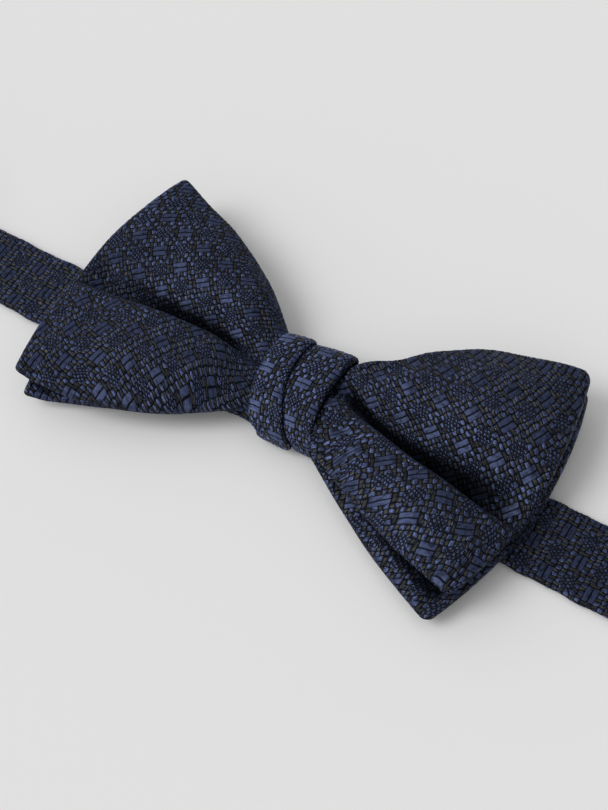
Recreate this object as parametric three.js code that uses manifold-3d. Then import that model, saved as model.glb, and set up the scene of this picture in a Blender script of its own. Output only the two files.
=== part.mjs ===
// A ready-tied bow tie lying face up: two stacked, padded bows gathered at the waist, a pleated knot
// wrapped round them, and an adjustable neckband with a three-bar slide, a hook and an eye.
// Millimetres. +X runs along the bow, +Y is the wearer's up, +Z points out of the front of the bow.
// The origin is the middle of the knot's flat back, which rests on the shirt or on a table.
import * as THREE from "three";
import { mergeVertices } from "three/addons/utils/BufferGeometryUtils.js";
import Module from "manifold-3d";

const wasm = await Module();
wasm.setup();

// ---- driving dimensions ----
const GAP = 0.3; // air between touching pieces

const WAIST = { x: 11, halfHeight: 10 }; // the gathered middle of both bows, inside the knot
const FRONT = {
  cornerX: 55, bulge: 6, halfHeight: 33.5, shiftY: 1.7,
  valley: [6.8, 7.4, 7.2, 6.3], ridge: [6.8, 12.8, 14.6, 11.6],
  upperEdge: [6.8, 8.2, 10.6, 11.4], lowerEdge: [6.8, 6.8, 8.8, 12.2],
};
const REAR = {
  cornerX: 53.6, bulge: 5.6, halfHeight: 34.4, shiftY: 0.6,
  valley: [4.7, 3.7, 3.2, 3.1], ridge: [4.7, 7.8, 9.2, 6.6],
  upperEdge: [4.7, 3.4, 4.0, 4.9], lowerEdge: [4.7, 2.6, 2.8, 5.4],
};
const PROFILE_STATIONS = [0.21, 0.42, 0.68, 1]; // where along a wing the heights above are given
// How round a wing's long edges are, from 0, straight, to 1. The right wing is puffed up a little more.
const ROUND = { leftUpper: 0.85, rightUpper: 1, leftLower: 0.45, rightLower: 0.55 };
const RIGHT_PUFF = 1.1; // the right wing's upper ridge, against the left one's height over the valley
const RIDGE_AT = 0.56; // the ridge's place between the valley, 0, and the long edge, 1
const WING_HALF = 1.3; // half the thickness of a padded bow
const WAIST_HALF = 0.9; // half of it where the bow is gathered
const PLY = { wing: 0.7, waist: 0.5 }; // the silk shell's own thickness
const CANVAS_HALF = { wing: 0.3, waist: 0.12 }; // half the interlining's thickness
const SEAM = { from: 14, to: 50, width: 0.5 }; // the turning seam left open along a bow's back

const KNOT = { halfWidth: 8.5, halfY: 11.3, low: 1.1, high: 8.7, thick: 1.2, lined: 0.45, step: 1.3,
  lean: -0.18 };
const KNOT_PLEAT = { front: -3.3, lower: 1.0 }; // where the lapping pleat ends, across the knot
const KNOT_SEAM = { y: 5.5, width: 1.4 }; // the slit between the band's two ends, on the back

const BAND = { half: 9.7, thick: 1.4, centreY: -3, kneeX: 26, knotHalf: 9.4, knotY: -1, knotZ: 1.4 };
const BAR = { width: 1.2, thick: 1.0 }; // the hardware's strap bars
const TURN = 1.0; // inner radius of the strap where it turns round a bar
const BAR_Z = BAND.thick + TURN; // height of the middle of those bars
const UPPER_Z = 5.1; // underside of the strap where it runs through the slide

const SLIDE = { x: -120, length: 16, width: 27, rail: 2.4, bar: 2.2, thick: 1.0, tail: 16 };
const HOOK_X = -180; // the hook's strap bar
const EYE_X = 186; // the eye's strap bar
const STUB = 12; // strap on each side of the hook's bar that moves with it
const PLATE = { width: 25.4, window: 3.4, rail: 1.9, length: 10 };
const FINGER = { width: 8, reach: 3, length: 8, thick: 0.9 }; // the hook's turned-back end
const EYE_SLOT = { width: 12, length: 3.2, rim: 3 };
const THREAD = 0.45;

// ---- helpers ----
const V = (x, y, z) => new THREE.Vector3(x, y, z);
const mix = THREE.MathUtils.lerp;
const { clamp } = THREE.MathUtils;
const ease = (t) => THREE.MathUtils.smoothstep(t, 0, 1);
const ordered = (a, b) => [Math.min(a, b), Math.max(a, b)];

// A smooth curve through heights given at PROFILE_STATIONS; level before the first.
function along(heights, s) {
  const last = PROFILE_STATIONS.length - 1;
  for (let i = 0; i < last; i++) {
    const a = PROFILE_STATIONS[i];
    const b = PROFILE_STATIONS[i + 1];
    if (s <= b) return mix(heights[i], heights[i + 1], ease(clamp((s - a) / (b - a), 0, 1)));
  }
  return heights[last];
}

function meshFrom(positions, index) {
  const g = new THREE.BufferGeometry();
  g.setAttribute("position", new THREE.Float32BufferAttribute(positions, 3));
  g.setIndex(index);
  return g;
}

// The same closed mesh with its faces turned outwards, whichever way its rings ran.
function outward(g) {
  const p = g.attributes.position;
  const at = (i) => V(p.getX(i), p.getY(i), p.getZ(i));
  let volume = 0;
  const index = Array.from(g.index.array);
  for (let i = 0; i < index.length; i += 3)
    volume += at(index[i]).dot(at(index[i + 1]).cross(at(index[i + 2])));
  if (volume < 0) g.setIndex(index.reverse());
  return g;
}

// A closed skin over a grid: point(u, v, side) for u and v in -1..1, both sides meeting at the rim.
function pillow(point, us, vs) {
  const positions = [];
  const index = [];
  const ids = [[], []];
  const rim = (i, j) => i === 0 || j === 0 || i === us.length - 1 || j === vs.length - 1;
  for (const side of [0, 1])
    us.forEach((u, i) => {
      ids[side].push(vs.map((v, j) => {
        if (side === 1 && rim(i, j)) return ids[0][i][j];
        positions.push(...point(u, v, side ? -1 : 1).toArray());
        return positions.length / 3 - 1;
      }));
    });
  for (const side of [0, 1])
    for (let i = 0; i < us.length - 1; i++)
      for (let j = 0; j < vs.length - 1; j++) {
        const [a, b] = [ids[side][i][j], ids[side][i + 1][j]];
        const [c, d] = [ids[side][i + 1][j + 1], ids[side][i][j + 1]];
        index.push(...(side ? [a, c, b, a, d, c] : [a, b, c, a, c, d]));
      }
  return meshFrom(positions, index);
}

// A solid lofted through rings of equal length; closed joins the last ring to the first.
function loft(rings, closed = false) {
  const n = rings[0].length;
  const positions = rings.flat().flatMap((p) => p.toArray());
  const index = [];
  const spans = closed ? rings.length : rings.length - 1;
  for (let i = 0; i < spans; i++)
    for (let j = 0; j < n; j++) {
      const a = i * n + j;
      const b = i * n + ((j + 1) % n);
      const [c, d] = [((i + 1) % rings.length) * n + ((j + 1) % n), ((i + 1) % rings.length) * n + j];
      index.push(a, b, c, a, c, d);
    }
  if (!closed) {
    const end = (rings.length - 1) * n;
    for (let j = 1; j < n - 1; j++) index.push(0, j + 1, j, end, end + j, end + j + 1);
  }
  return outward(meshFrom(positions, index));
}

function solid(geometry) {
  const g = geometry.clone();
  for (const name of ["normal", "uv"]) g.deleteAttribute(name);
  const m = mergeVertices(g, 1e-4);
  const vertProperties = new Float32Array(m.attributes.position.array);
  const triVerts = new Uint32Array(m.index.array);
  return new wasm.Manifold(new wasm.Mesh({ numProp: 3, vertProperties, triVerts }));
}

function fromSolid(made) {
  const m = made.getMesh();
  return meshFrom(Array.from(m.vertProperties), Array.from(m.triVerts));
}

function box(x0, x1, y0, y1, z0, z1) {
  const g = new THREE.BoxGeometry(x1 - x0, y1 - y0, z1 - z0);
  return g.translate((x0 + x1) / 2, (y0 + y1) / 2, (z0 + z1) / 2);
}

// Stations from one outer edge of a bow to the other, closer at the waist and at the edges.
const HALF_STATIONS = [0.1, 0.2, 0.24, 0.29, 0.36, 0.44, 0.53, 0.62, 0.71, 0.8, 0.88, 0.94, 0.98, 1];
const ACROSS = [...HALF_STATIONS.map((s) => -s).reverse(), 0, ...HALF_STATIONS];

// Values in -1..1, drawn closer together towards both ends.
function spread(count) {
  const twice = (t) => Math.sin((Math.PI / 2) * Math.sin((Math.PI / 2) * t));
  return Array.from({ length: count + 1 }, (_, i) => twice((2 * i) / count - 1));
}

// ---- the bows ----
// The middle surface of a bow: u runs from one outer edge to the other, v from the lower edge to the upper.
function bowSurface(bow, u, v) {
  const s = Math.abs(u);
  const a = Math.abs(v);
  const w = clamp((s * bow.cornerX - WAIST.x) / (bow.cornerX - WAIST.x), 0, 1);
  const round = ROUND[(u < 0 ? "left" : "right") + (v < 0 ? "Lower" : "Upper")];
  const flare = round * Math.sin((Math.PI / 2) * w ** 0.9) + (1 - round) * w;
  const halfHeight = mix(WAIST.halfHeight, bow.halfHeight, flare);
  const x = Math.sign(u) * (s * bow.cornerX + bow.bulge * (1 - v * v) * s ** 3);
  const edges = v < 0 ? bow.lowerEdge : bow.upperEdge;
  const [valley, top, edge] = [bow.valley, bow.ridge, edges].map((h) => along(h, s));
  const ridge = u > 0 && v > 0 ? mix(valley, top, RIGHT_PUFF) : top;
  const up = Math.sin((Math.PI / 2) * Math.min(a / RIDGE_AT, 1));
  const down = Math.cos((Math.PI / 2) * Math.max((a - RIDGE_AT) / (1 - RIDGE_AT), 0));
  const z = a < RIDGE_AT ? mix(valley, ridge, up) : mix(edge, ridge, down);
  return V(x, v * halfHeight + bow.shiftY * s * s, z);
}

// A padded layer round that surface: half gives its half thickness at the waist and in the wing.
function bowLayer(bow, half, inset) {
  const point = (u, v, side) => {
    const us = u * (1 - inset / bow.cornerX);
    const vs = v * (1 - inset / WAIST.halfHeight / (1 + 2 * Math.abs(u)));
    const e = 0.01;
    const du = bowSurface(bow, us + e, vs).sub(bowSurface(bow, us - e, vs));
    const dv = bowSurface(bow, us, vs + e).sub(bowSurface(bow, us, vs - e));
    const normal = du.cross(dv).normalize();
    const wing = ease(clamp((Math.abs(us) * bow.cornerX - WAIST.x) / 8, 0, 1));
    const rim = Math.sqrt(Math.max(0, (1 - Math.abs(u) ** 16) * (1 - Math.abs(v) ** 10)));
    return bowSurface(bow, us, vs).addScaledVector(normal, side * rim * mix(half.waist, half.wing, wing));
  };
  return pillow(point, ACROSS, spread(14));
}

function bowShell(bow) {
  const outer = { waist: WAIST_HALF, wing: WING_HALF };
  const hollow = { waist: WAIST_HALF - PLY.waist, wing: WING_HALF - PLY.wing };
  let shell = solid(bowLayer(bow, outer, 0)).subtract(solid(bowLayer(bow, hollow, PLY.wing)));
  const low = bow.valley[3] - WING_HALF - 1;
  for (const side of [-1, 1]) {
    const [x0, x1] = ordered(side * SEAM.from, side * SEAM.to);
    const y = bow.shiftY * 0.3 + 0.6;
    const middle = Math.max(bow.valley[1], bow.valley[2]) - 0.1;
    shell = shell.subtract(solid(box(x0, x1, y, y + SEAM.width, low, middle)));
  }
  return fromSolid(shell);
}

function bowCanvas(bow) {
  return bowLayer(bow, CANVAS_HALF, PLY.wing + 0.5);
}

// ---- the knot ----
// A rounded loop round the waist, seen along X: half its height in Y, its lowest and highest z.
function loop(halfY, low, high, rLow, rHigh, arc = 4) {
  const points = [];
  const corner = (cy, cz, r, from) => {
    for (let i = 0; i <= arc; i++) {
      const a = from + (Math.PI / 2) * (i / arc);
      points.push([cy + r * Math.cos(a), cz + r * Math.sin(a)]);
    }
  };
  corner(halfY - rHigh, high - rHigh, rHigh, 0);
  corner(rHigh - halfY, high - rHigh, rHigh, Math.PI / 2);
  corner(rLow - halfY, low + rLow, rLow, Math.PI);
  corner(halfY - rLow, low + rLow, rLow, 1.5 * Math.PI);
  return points;
}

// The knot's cross-section runs across the wrap: a thin right part and a left part lapping over it.
function knotBand() {
  const inner = loop(KNOT.halfY + KNOT.lined, KNOT.low - KNOT.lined, KNOT.high + KNOT.lined, 1.4, 2.8);
  const outer = loop(KNOT.halfY + KNOT.thick, 0, KNOT.high + KNOT.thick, 1 + KNOT.low, 2.4 + KNOT.thick);
  const lapped = loop(KNOT.halfY + KNOT.thick + 0.9, 0, KNOT.high + KNOT.thick + KNOT.step, 2, 3.8);
  const rings = inner.map((_, i) => {
    const [iy, iz] = inner[i];
    const [oy, oz] = outer[i];
    const [ly, lz] = lapped[i];
    const lower = ease(clamp((-iy - 2) / 8, 0, 1));
    const pleat = mix(KNOT_PLEAT.front, KNOT_PLEAT.lower, lower);
    const lift = ease(clamp((iz - KNOT.low) / 3, 0, 1));
    const [hy, hz] = [mix(oy, ly, lift), mix(oz, lz, lift)];
    const at = (x, y, z) => V(x + KNOT.lean * y, y, z);
    const soft = 0.3;
    return [
      at(-KNOT.halfWidth, iy, iz), at(-KNOT.halfWidth, mix(iy, hy, 0.7), mix(iz, hz, 0.7)),
      at(-KNOT.halfWidth + 0.6, hy, hz), at(pleat - soft, hy, hz),
      at(pleat, mix(oy, hy, 0.6), mix(oz, hz, 0.6)), at(pleat + soft, oy, oz),
      at(KNOT.halfWidth - 0.5, oy, oz),
      at(KNOT.halfWidth, mix(iy, oy, 0.6), mix(iz, oz, 0.6)), at(KNOT.halfWidth, iy, iz),
    ];
  });
  const ring = loft(rings, true);
  const slit = box(-12, 12, KNOT_SEAM.y, KNOT_SEAM.y + KNOT_SEAM.width, -1, KNOT.low - KNOT.lined + 0.1);
  return fromSolid(solid(ring).subtract(solid(slit)));
}

// A flat ring of given width wrapped round the loop between two offsets.
function wrap(halfX, inside, outside) {
  const rings = inside.map(([iy, iz], i) => {
    const [oy, oz] = outside[i];
    return [V(-halfX, iy, iz), V(-halfX, oy, oz), V(halfX, oy, oz), V(halfX, iy, iz)];
  });
  return loft(rings, true);
}

function waistBinding() {
  return wrap(2.4, loop(10.3, 3.45, 8.05, 1.2, 1.2, 3), loop(10.75, 3.05, 8.4, 1.6, 1.6, 3));
}

// The stiff strip inside the knot, which keeps it round.
function knotLining() {
  const outside = loop(KNOT.halfY + 0.3, KNOT.low - 0.3, KNOT.high + 0.3, 1.3, 2.7);
  return wrap(KNOT.halfWidth - 1, loop(KNOT.halfY, KNOT.low, KNOT.high, 1, 2.4), outside);
}

// A row of thread as one soft bar from one point to another.
function thread(from, to, radius = THREAD / 2) {
  const length = from.distanceTo(to);
  const g = new THREE.CapsuleGeometry(radius, length, 2, 6);
  const along = to.clone().sub(from).normalize();
  g.applyQuaternion(new THREE.Quaternion().setFromUnitVectors(V(0, 1, 0), along));
  return g.translate((from.x + to.x) / 2, (from.y + to.y) / 2, (from.z + to.z) / 2);
}

const alongX = (y, z, half) => thread(V(-half, y, z), V(half, y, z));
const alongY = (x, z, half) => thread(V(x, BAND.centreY - half, z), V(x, BAND.centreY + half, z));

// ---- the neckband ----
// A strap's side view: a centreline in x and z thickened to a ribbon, then given its width along Y.
function ribbon(path, half, centreY, thick = BAND.thick) {
  const left = [];
  const right = [];
  path.forEach((p, i) => {
    const d = path[Math.min(i + 1, path.length - 1)].clone().sub(path[Math.max(i - 1, 0)]).normalize();
    const n = new THREE.Vector2(-d.y, d.x).multiplyScalar(thick / 2);
    left.push(p.clone().add(n));
    right.push(p.clone().sub(n));
  });
  const shape = new THREE.Shape([...left, ...right.reverse()]);
  const g = new THREE.ExtrudeGeometry(shape, { depth: 2 * half, bevelEnabled: false });
  return g.rotateX(Math.PI / 2).translate(0, centreY + half, 0);
}

const P = (x, z) => new THREE.Vector2(x, z);

// Points of a soft step from one height to another.
function step(x0, z0, x1, z1, count = 6) {
  const at = (t) => P(mix(x0, x1, t), mix(z0, z1, ease(t)));
  return Array.from({ length: count + 1 }, (_, i) => at(i / count));
}

// Points of a half turn about a bar, from below it, round the side it faces, to above it.
function turn(x, side, count = 8) {
  const r = TURN + BAND.thick / 2;
  return Array.from({ length: count + 1 }, (_, i) => {
    const a = -Math.PI / 2 + (Math.PI * i) / count;
    return P(x + side * r * Math.cos(a), BAR_Z + r * Math.sin(a));
  });
}

const MID = BAND.thick / 2;
const LAID = BAND.thick + GAP + MID; // middle of a ply lying on another ply

// The strap from the eye's fold, under the bows and through the knot, up to and through the slide.
function neckband() {
  const wide = (path) => solid(ribbon(path, BAND.half, BAND.centreY));
  const right = [...step(BAND.kneeX, MID, EYE_X - 1, MID, 2), ...turn(EYE_X, 1),
    ...step(EYE_X - 1, BAR_Z + TURN + MID, EYE_X - 8, LAID), P(EYE_X - 18, LAID)];
  const left = [P(HOOK_X + STUB + GAP, UPPER_Z + MID),
    ...step(SLIDE.x + 10, UPPER_Z + MID, SLIDE.x + 24, MID, 8), P(-BAND.kneeX, MID)];
  const stations = 14;
  const rings = Array.from({ length: stations + 1 }, (_, i) => {
    const x = mix(-BAND.kneeX - 0.2, BAND.kneeX + 0.2, i / stations);
    const t = ease(clamp((Math.abs(x) - WAIST.x) / (BAND.kneeX - WAIST.x), 0, 1));
    const half = mix(BAND.knotHalf, BAND.half, t);
    const y = mix(BAND.knotY, BAND.centreY, t);
    const low = mix(BAND.knotZ, 0, t);
    const top = low + BAND.thick;
    return [V(x, y - half, low), V(x, y + half, low), V(x, y + half, top), V(x, y - half, top)];
  });
  return fromSolid(wide(right).add(wide(left)).add(solid(loft(rings))));
}

// The end of the strap: under the slide's middle bar, over it, and laid back on itself.
function returnRun() {
  const x = SLIDE.x;
  const path = [P(x - SLIDE.tail, MID), P(x - 1, MID), ...turn(x, 1),
    ...step(x - 2, BAR_Z + TURN + MID, x - 9, LAID), P(x - SLIDE.tail, LAID)];
  return ribbon(path, BAND.half, BAND.centreY);
}

// The fold round the hook's bar, with a short length of both runs.
function hookLoop() {
  const x = HOOK_X;
  const path = [P(x + 4, MID), P(x + 1, MID), ...turn(x, -1),
    ...step(x + 2, BAR_Z + TURN + MID, x + STUB - 1, UPPER_Z + MID, 5), P(x + STUB, UPPER_Z + MID)];
  return ribbon(path, BAND.half, BAND.centreY);
}

// ---- the hardware ----
function roundedRect(length, width, r) {
  const s = new THREE.Shape();
  const [x, y] = [length / 2, width / 2];
  s.moveTo(-x + r, -y);
  s.lineTo(x - r, -y).absarc(x - r, -y + r, r, -Math.PI / 2, 0);
  s.lineTo(x, y - r).absarc(x - r, y - r, r, 0, Math.PI / 2);
  s.lineTo(-x + r, y).absarc(-x + r, y - r, r, Math.PI / 2, Math.PI);
  s.lineTo(-x, -y + r).absarc(-x + r, -y + r, r, Math.PI, 1.5 * Math.PI);
  return s;
}

function plate(shape, z, thick) {
  const g = new THREE.ExtrudeGeometry(shape, { depth: thick, bevelEnabled: false, curveSegments: 4 });
  return g.translate(0, 0, z);
}

// A three-bar slide: two outer bars over the strap and a lower middle bar held by posts at the rails.
function slideFrame() {
  const frame = roundedRect(SLIDE.length, SLIDE.width, 2);
  frame.holes.push(roundedRect(SLIDE.length - 2 * SLIDE.bar, SLIDE.width - 2 * SLIDE.rail, 0.8));
  const top = UPPER_Z + BAND.thick + GAP;
  const [inner, outer] = [SLIDE.width / 2 - SLIDE.rail, SLIDE.width / 2 - 0.5];
  let made = solid(plate(frame, top, SLIDE.thick));
  const low = BAR_Z - BAR.thick / 2;
  made = made.add(solid(box(-BAR.width / 2, BAR.width / 2, -outer, outer, low, low + BAR.thick)));
  for (const side of [-1, 1]) {
    const [y0, y1] = ordered(side * inner, side * outer);
    made = made.add(solid(box(-2, 2, y0, y1, low, top + 0.5)));
  }
  return fromSolid(made).translate(SLIDE.x, BAND.centreY, 0);
}

// The plate shared by the hook and the eye: a strap bar at x = 0, a window, and a solid tongue towards +X.
function strapPlate(extra) {
  const end = BAR.width / 2 + PLATE.window + PLATE.length;
  const outline = roundedRect(end + BAR.width / 2, PLATE.width, 2.2);
  const centre = (end - BAR.width / 2) / 2;
  const made = solid(plate(outline, 0, BAR.thick).translate(centre, 0, -BAR.thick / 2));
  const inner = PLATE.width / 2 - PLATE.rail;
  const window = box(BAR.width / 2, BAR.width / 2 + PLATE.window, -inner, inner, -2, 2);
  return extra(made.subtract(solid(window)), end);
}

function hook() {
  const g = strapPlate((body, end) => {
    const [top, low] = [BAR.thick / 2, -BAR_Z];
    const bend = end + FINGER.reach;
    const tip = bend - FINGER.length;
    const r = (top - low) / 2;
    const inside = (top - low - BAR.thick - FINGER.thick) / 2;
    const side = new THREE.Shape();
    side.moveTo(tip, low).lineTo(bend, low).absarc(bend, low + r, r, -Math.PI / 2, Math.PI / 2);
    side.lineTo(end - 1, top).lineTo(end - 1, top - BAR.thick).lineTo(bend, top - BAR.thick);
    side.absarc(bend, low + FINGER.thick + inside, inside, Math.PI / 2, -Math.PI / 2, true);
    side.lineTo(tip, low + FINGER.thick).lineTo(tip, low);
    const options = { depth: FINGER.width, bevelEnabled: false, curveSegments: 6 };
    const finger = new THREE.ExtrudeGeometry(side, options);
    finger.rotateX(Math.PI / 2).translate(0, FINGER.width / 2, 0);
    return fromSolid(body.add(solid(finger)));
  });
  return g.rotateZ(Math.PI).translate(HOOK_X, BAND.centreY, BAR_Z);
}

function eye() {
  const g = strapPlate((body, end) => {
    const x = end - EYE_SLOT.length - EYE_SLOT.rim;
    const slot = box(x, x + EYE_SLOT.length, -EYE_SLOT.width / 2, EYE_SLOT.width / 2, -2, 2);
    return fromSolid(body.subtract(solid(slot)));
  });
  const reach = BAR.width / 2 + PLATE.window + PLATE.length;
  const droop = Math.asin((BAR_Z - BAR.thick / 2 - 0.05) / reach); // its far end rests on the table
  return g.rotateY(droop).translate(EYE_X, BAND.centreY, BAR_Z);
}

// ---- materials ----
function finish(color, roughness, metalness) {
  return new THREE.MeshStandardMaterial({ color, roughness, metalness });
}
const silk = () => finish(0x1c2647, 0.55, 0);
const canvas = () => finish(0xcfc8b6, 0.95, 0);
const cotton = () => finish(0x141a33, 0.8, 0);
const metal = () => finish(0xb9bcc2, 0.25, 1);

// ---- assembly ----
const bowTie = new THREE.Group();

function add(name, geometry, material) {
  const mesh = new THREE.Mesh(geometry, material);
  mesh.name = name;
  bowTie.add(mesh);
}

for (const [name, bow] of [["front_bow", FRONT], ["rear_bow", REAR]]) {
  add(name + "_shell", bowShell(bow), silk());
  add(name + "_interlining", bowCanvas(bow), canvas());
}
add("waist_binding_thread", waistBinding(), cotton());
add("knot_band", knotBand(), silk());
add("knot_lining", knotLining(), canvas());
add("knot_closing_stitch", alongX(KNOT_SEAM.y + KNOT_SEAM.width / 2, 0.35, 6.5), cotton());
add("neckband", neckband(), silk());
add("eye_fold_tack", alongY(EYE_X - 14, LAID + MID + THREAD / 2 + 0.1, 7), cotton());
add("neckband_return_run", returnRun(), silk());
add("slide_tail_tack", alongY(SLIDE.x - 13, LAID + MID + THREAD / 2 + 0.1, 7), cotton());
add("neckband_hook_loop", hookLoop(), silk());
add("slide_frame", slideFrame(), metal());
add("hook", hook(), metal());
add("eye", eye(), metal());

export default bowTie;
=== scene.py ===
"""The looks of a ready-tied bow tie: two padded silk bows, a pleated knot and an adjustable neckband.

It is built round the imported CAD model, in the same frame: +X along the bow, +Y the wearer's up,
+Z out of the front. Lengths in this script are millimetres until a mesh is made, then metres.
"""

import math

import bpy
import numpy as np
from mathutils import Matrix, Vector


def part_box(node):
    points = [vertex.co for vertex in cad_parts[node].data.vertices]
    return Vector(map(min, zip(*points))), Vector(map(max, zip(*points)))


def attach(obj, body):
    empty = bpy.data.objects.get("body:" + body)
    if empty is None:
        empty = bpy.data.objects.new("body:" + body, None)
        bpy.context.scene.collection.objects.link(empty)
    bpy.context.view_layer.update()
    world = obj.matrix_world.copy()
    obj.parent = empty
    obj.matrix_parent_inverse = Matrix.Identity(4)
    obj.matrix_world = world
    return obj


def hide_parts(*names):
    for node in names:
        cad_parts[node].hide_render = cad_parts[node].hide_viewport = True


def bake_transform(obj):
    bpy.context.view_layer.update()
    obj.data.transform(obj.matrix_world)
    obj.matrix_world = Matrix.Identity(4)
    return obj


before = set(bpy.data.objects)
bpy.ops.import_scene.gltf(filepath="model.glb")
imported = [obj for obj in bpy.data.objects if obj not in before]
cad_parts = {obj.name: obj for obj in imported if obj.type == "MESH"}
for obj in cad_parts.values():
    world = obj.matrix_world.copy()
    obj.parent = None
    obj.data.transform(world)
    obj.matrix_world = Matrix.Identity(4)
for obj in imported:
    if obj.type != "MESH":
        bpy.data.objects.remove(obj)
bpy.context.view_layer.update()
MM = 0.001


# ---- driving values ----
CELL = 0.92  # one cell of the weave: the width of a raised blue dot
CELL_TALL = 1.5  # how tall a cell is for its width
TILE = 6.0  # width of one motif of the weave, in cells
TILE_TALL = 4.0  # its height, in cells
RELIEF = 0.13  # how far the weave stands out of the mesh itself
KNOT_Y = 2.0  # height of the line out of which the cloth of the wings fans
FAN_START = 14.0  # how far behind the knot the lines of a wing's cloth meet
FAN_EVEN = 64.0  # how far from there the cloth has its own width

# The two bows. A bow has: how far out its corners lie (corner_x); how far its middle line has moved up
# there (shift_y); its padding (thickness); its height in the knot (waist_z); how much painted shade its
# underside gets (painted_shade_under); and how much painted shade it gets, inside its rim, under the
# other bow (painted_shade_covered).
# Each wing has, from its waist to its outer edge: the heights of its valley, of the
# folds below it (crest) and above it (ridge), and of its lower and upper edges, given at STATIONS;
# where it leaves the knot (waist_x); how wide the climb from the valley to the lower crest is; how round
# its lower and upper edges run and how far out they reach (round, reach); how far its lower and upper
# corners are drawn out (toe, tip) and its outer edge bulges; how hollow its upper slope is; the painted
# shade of its valley as strength, width, start and end along the wing (shadow); where the knot's edge
# casts painted shade on the cloth, and how strongly (knot_edge); and the bumps of its upper edge, as
# place, width and height (swell).
STATIONS = [0.21, 0.42, 0.68, 0.9, 1.0]
VALLEY_Y = 1.5  # where the valleys leave the knot
WAIST_HALF = (9.7, 10.6)  # half the height of a bow in the middle of the knot, and beside it
FRONT = {
    "corner_x": 55.0, "shift_y": 1.7, "thickness": 2.4, "waist_z": 6.7, "painted_shade_under": 0.45,
    "painted_shade_covered": 0.0,
    "left": {
        "waist_x": 10.2, "valley": [6.8, 5.4, 5.8, 8.6, 10.2], "crest": [8.4, 12.8, 13.8, 12.2, 10.9],
        "ridge": [8.2, 12.4, 13.4, 12.2, 11.4], "upper": [7.4, 9.2, 10.8, 11.2, 11.2],
        "lower": [6.6, 6.6, 6.9, 9.2, 10.4], "fold_width": 3.4, "round": (0.85, 0.58),
        "reach": (32.7, 33.5), "toe": 3.1, "tip": 0.0, "bulge": 6.0, "hollow": 1.5,
        "shadow": (0.74, 7.4, 0.28, 0.66), "knot_edge": (10.6, 0.2),
        "swell": [(0.38, 0.18, 0.6), (0.84, 0.13, -0.8)],
    },
    "right": {
        "waist_x": 6.5, "valley": [6.4, 4.4, 4.0, 4.4, 6.6], "crest": [8.8, 13.4, 14.6, 12.0, 10.0],
        "ridge": [8.8, 12.6, 15.0, 14.0, 12.6], "upper": [8.6, 9.6, 11.2, 11.8, 11.8],
        "lower": [7.4, 7.8, 8.4, 9.6, 10.0], "fold_width": 4.0, "round": (0.28, 0.88),
        "reach": (30.8, 33.5), "toe": -1.5, "tip": 0.0, "bulge": 4.6, "hollow": 1.8,
        "shadow": (0.82, 9.4, 0.12, 0.77), "knot_edge": (6.7, 0.45),
        "swell": [(0.55, 0.12, 0.9), (0.28, 0.07, -1.0)],
    },
}
REAR = {
    "corner_x": 53.6, "shift_y": 0.6, "thickness": 2.0, "waist_z": 4.6, "painted_shade_under": 0.0,
    "painted_shade_covered": 0.7,
    "left": {
        "waist_x": 11.0, "valley": [4.6, 2.9, 2.8, 3.6, 4.4], "crest": [5.0, 6.6, 7.2, 6.6, 6.0],
        "ridge": [5.0, 7.2, 8.2, 7.0, 6.2], "upper": [4.7, 3.6, 4.0, 4.7, 4.9],
        "lower": [4.3, 2.1, 1.7, 2.7, 4.2], "fold_width": 6.0, "round": (0.04, 0.6),
        "reach": (33.4, 34.4), "toe": 1.9, "tip": 0.0, "bulge": 5.6, "hollow": 1.5,
        "shadow": (0.6, 6.0, 0.2, 0.7), "knot_edge": (10.6, 0.2), "swell": [],
    },
    "right": {
        "waist_x": 6.5, "valley": [4.4, 2.2, 1.8, 2.0, 2.8], "crest": [5.0, 6.6, 7.2, 6.4, 5.6],
        "ridge": [5.0, 7.4, 8.8, 7.4, 6.4], "upper": [4.9, 4.0, 4.2, 5.0, 5.2],
        "lower": [5.4, 4.2, 3.2, 3.0, 3.0], "fold_width": 6.0, "round": (0.28, 0.9),
        "reach": (34.6, 34.0), "toe": -2.2, "tip": 2.0, "bulge": 6.4, "hollow": 1.6,
        "shadow": (0.6, 6.0, 0.2, 0.7), "knot_edge": (6.7, 0.45), "swell": [],
    },
}
CORNER_RADIUS = {"left": 1.3, "right": 2.3}  # how far the wings' corners are rounded off
SETTLE_FRAMES = 16  # how long the cloth of the bows is left to settle
SETTLE_MOST = 0.6  # how far it may move
HELD_X = 12  # how far from the middle the gathered waist is held meanwhile

# The knot: the oval loop that it follows round the waist, and how far aside its middle lies in front
# and underneath. knot_profile says how far out of that loop its layers stand.
KNOT = {
    "half_y": 11.3, "middle_y": 0.35, "low": 0.65, "high": 9.15, "squareness": 3.4,
    "front_x": -2.7, "under_x": 2.8,
}
KNOT_PLEAT_LEAN = -0.12  # how far the lapping edge slants across the knot for each millimetre down

# The neckband: its half width, thickness and place, and the same where it climbs through the knot.
BAND = {
    "half": 9.7, "thick": 1.4, "y": -3.0, "knee_x": 26.0,
    "knot_half": 9.4, "knot_x": 11.0, "knot_y": -1.0, "knot_z": 1.4,
}
TURN = 1.0  # inner radius of the strap where it turns round a bar
GAP = 0.3  # air between plies that lie on each other
BAR_Z = BAND["thick"] + TURN  # height of the middle of the bars
UPPER_Z = 5.1  # underside of the strap where it runs through the slide
MID = BAND["thick"] / 2
LAID = BAND["thick"] + GAP + MID  # middle of a ply lying on another ply
OUTSIDE = TURN + BAND["thick"]  # how far the strap reaches past a bar's middle


def cad_x(node, corner):
    """Where a CAD node begins (corner 0) or ends (corner 1) along the bow."""
    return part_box(node)[corner].x / MM


EYE_X = cad_x("neckband", 1) - OUTSIDE
HOOK_X = cad_x("neckband_hook_loop", 0) + OUTSIDE
SLIDE_X = (cad_x("slide_frame", 0) + cad_x("slide_frame", 1)) / 2
TAIL_X = cad_x("neckband_return_run", 0)


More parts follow.
